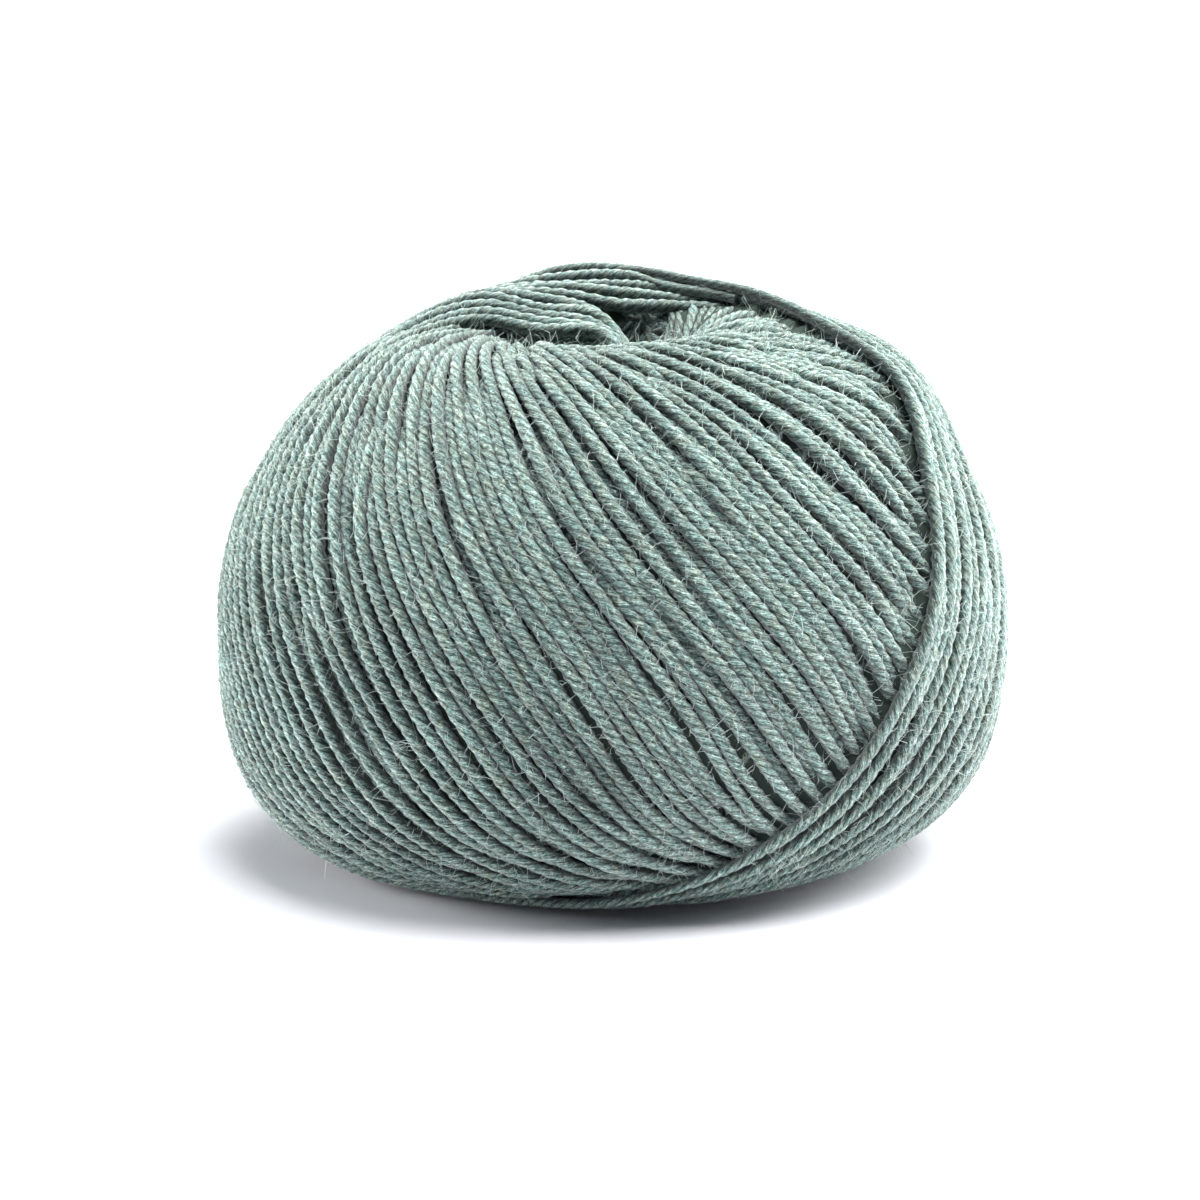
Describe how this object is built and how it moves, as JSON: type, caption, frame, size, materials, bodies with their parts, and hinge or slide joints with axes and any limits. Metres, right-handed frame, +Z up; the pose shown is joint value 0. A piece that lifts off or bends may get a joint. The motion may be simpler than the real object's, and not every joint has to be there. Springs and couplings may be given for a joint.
{
  "type": "ball of yarn",
  "caption": "Ball of plied wool yarn wound on a spindle: leaning turns, an open centre hole on top and a small flat spot that it rests on.",
  "frame": {"origin": "middle of the ball's footprint, at the height of the flat spot that it rests on", "axes": "+Z up along the spindle's axis, which leans from it by 1.7 degrees, -Y towards the side seen in the picture"},
  "size_m": [0.0787, 0.0773, 0.0565],
  "materials": {
    "wool_yarn": "matte plied wool, sage and grey-teal melange"
  },
  "bodies": {
    "root": {"wound_ball": "wool_yarn"}
  },
  "joints": []
}
